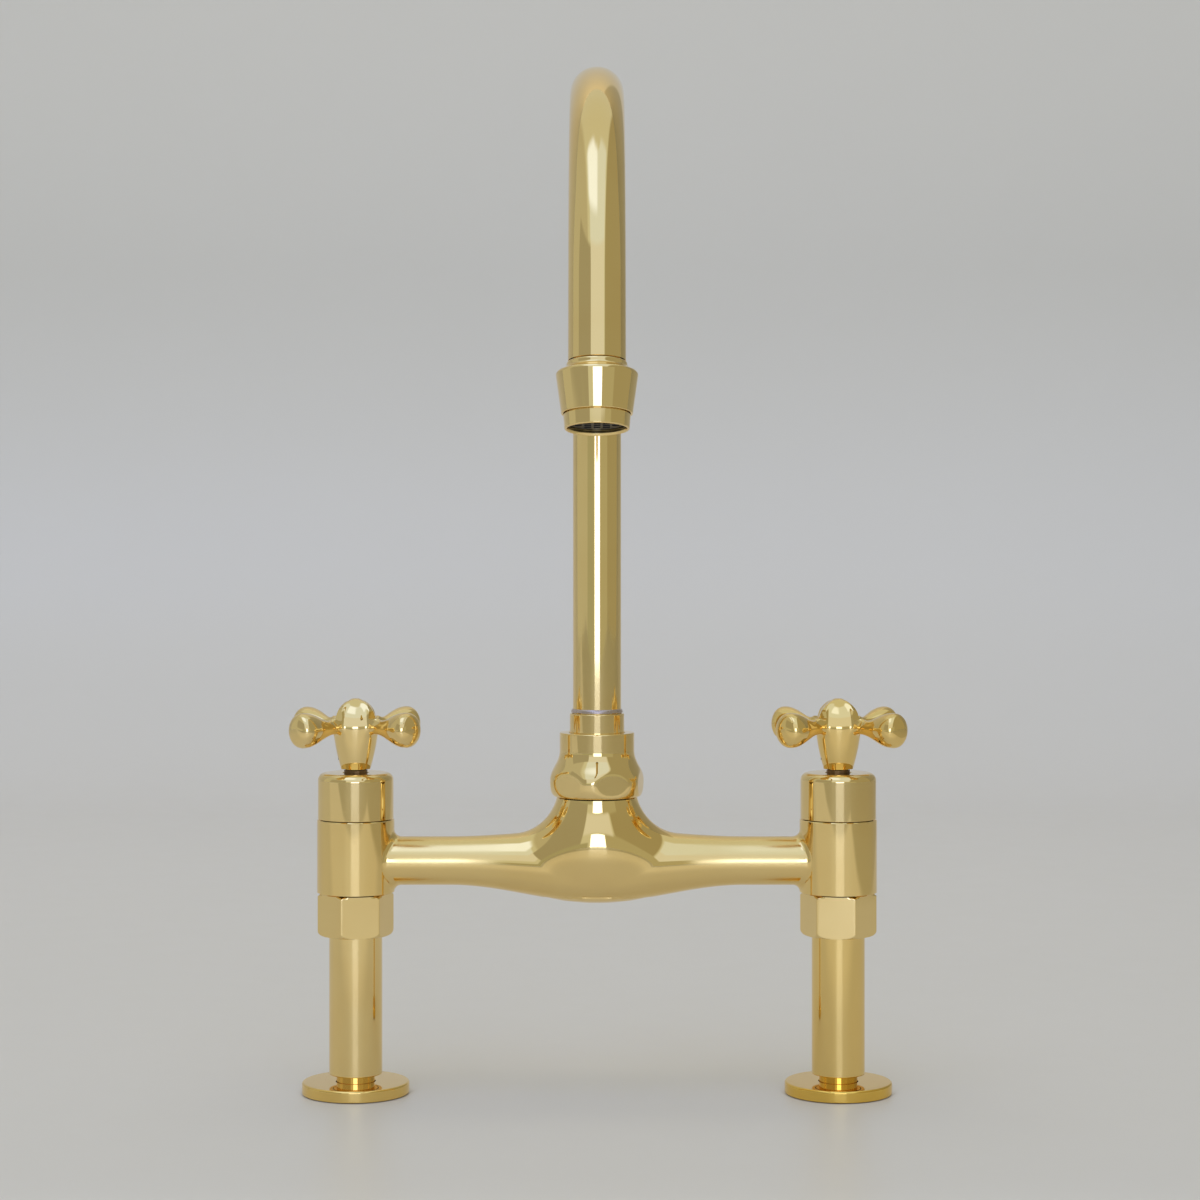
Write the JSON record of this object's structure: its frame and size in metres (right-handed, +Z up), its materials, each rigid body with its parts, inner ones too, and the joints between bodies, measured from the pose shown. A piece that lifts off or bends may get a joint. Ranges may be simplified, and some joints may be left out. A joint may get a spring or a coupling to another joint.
{
  "type": "bridge kitchen tap",
  "caption": "Polished brass bridge kitchen tap with cross handles on legs and a swivelling swan-neck spout with an aerator.",
  "frame": {"origin": "midway between the two feet, on the plane of the deck that the foot flanges stand on", "axes": "+Z up along the spout's riser, +X to the right as seen from the sink, the spout reaches towards -Y"},
  "size_m": [0.2551, 0.2313, 0.4075],
  "materials": {
    "polished_brass": "mirror-polished bare brass",
    "machined_brass": "machined brass, unpolished",
    "black_rubber": "matt moulded rubber",
    "white_acetal": "smooth low-friction plastic",
    "ceramic": "lapped alumina ceramic",
    "stainless_steel": "plain stainless steel",
    "black_plastic": "moulded black plastic",
    "silver_braze": "fused braze metal, grey with a mauve cast"
  },
  "bodies": {
    "bridge": {"bridge_body": "polished_brass", "spout_nut": "polished_brass", "thrust_washer": "white_acetal", "slip_ring": "white_acetal", "union_nut_left": "polished_brass", "tail_washer_left": "black_rubber", "leg_tube_left": "polished_brass", "foot_nipple_left": "machined_brass", "foot_flange_left": "polished_brass", "valve_cap_left": "polished_brass", "cartridge_body_left": "machined_brass", "cartridge_o_ring_left": "black_rubber", "seat_seal_left": "black_rubber", "fixed_disc_left": "ceramic", "spindle_o_ring_left": "black_rubber", "union_nut_right": "polished_brass", "tail_washer_right": "black_rubber", "leg_tube_right": "polished_brass", "foot_nipple_right": "machined_brass", "foot_flange_right": "polished_brass", "valve_cap_right": "polished_brass", "cartridge_body_right": "machined_brass", "cartridge_o_ring_right": "black_rubber", "seat_seal_right": "black_rubber", "fixed_disc_right": "ceramic", "spindle_o_ring_right": "black_rubber"},
    "spout": {"spout_collar": "polished_brass", "spout_o_ring_lower": "black_rubber", "spout_o_ring_upper": "black_rubber", "braze_ring": "silver_braze", "spout_tube": "polished_brass", "nozzle_cone": "polished_brass", "aerator_ring": "polished_brass", "aerator_washer": "black_rubber", "aerator_insert": "black_plastic", "aerator_screen": "stainless_steel"},
    "left_handle": {"cross_handle_left": "polished_brass", "grub_screw_left": "stainless_steel", "spindle_left": "machined_brass", "spindle_circlip_left": "stainless_steel", "moving_disc_left": "ceramic"},
    "right_handle": {"cross_handle_right": "polished_brass", "grub_screw_right": "stainless_steel", "spindle_right": "machined_brass", "spindle_circlip_right": "stainless_steel", "moving_disc_right": "ceramic"}
  },
  "joints": [
    {"name": "spout_swivel", "type": "hinge", "parent": "bridge", "child": "spout", "pos_m": [0, 0, 0.144], "axis": [0, 0, 1], "continuous": true},
    {"name": "left_valve_turn", "type": "hinge", "parent": "bridge", "child": "left_handle", "pos_m": [-0.1, 0, 0.133], "axis": [0, 0, 1], "range_deg": [-90, 0]},
    {"name": "right_valve_turn", "type": "hinge", "parent": "bridge", "child": "right_handle", "pos_m": [0.1, 0, 0.133], "axis": [0, 0, 1], "range_deg": [0, 90]}
  ]
}
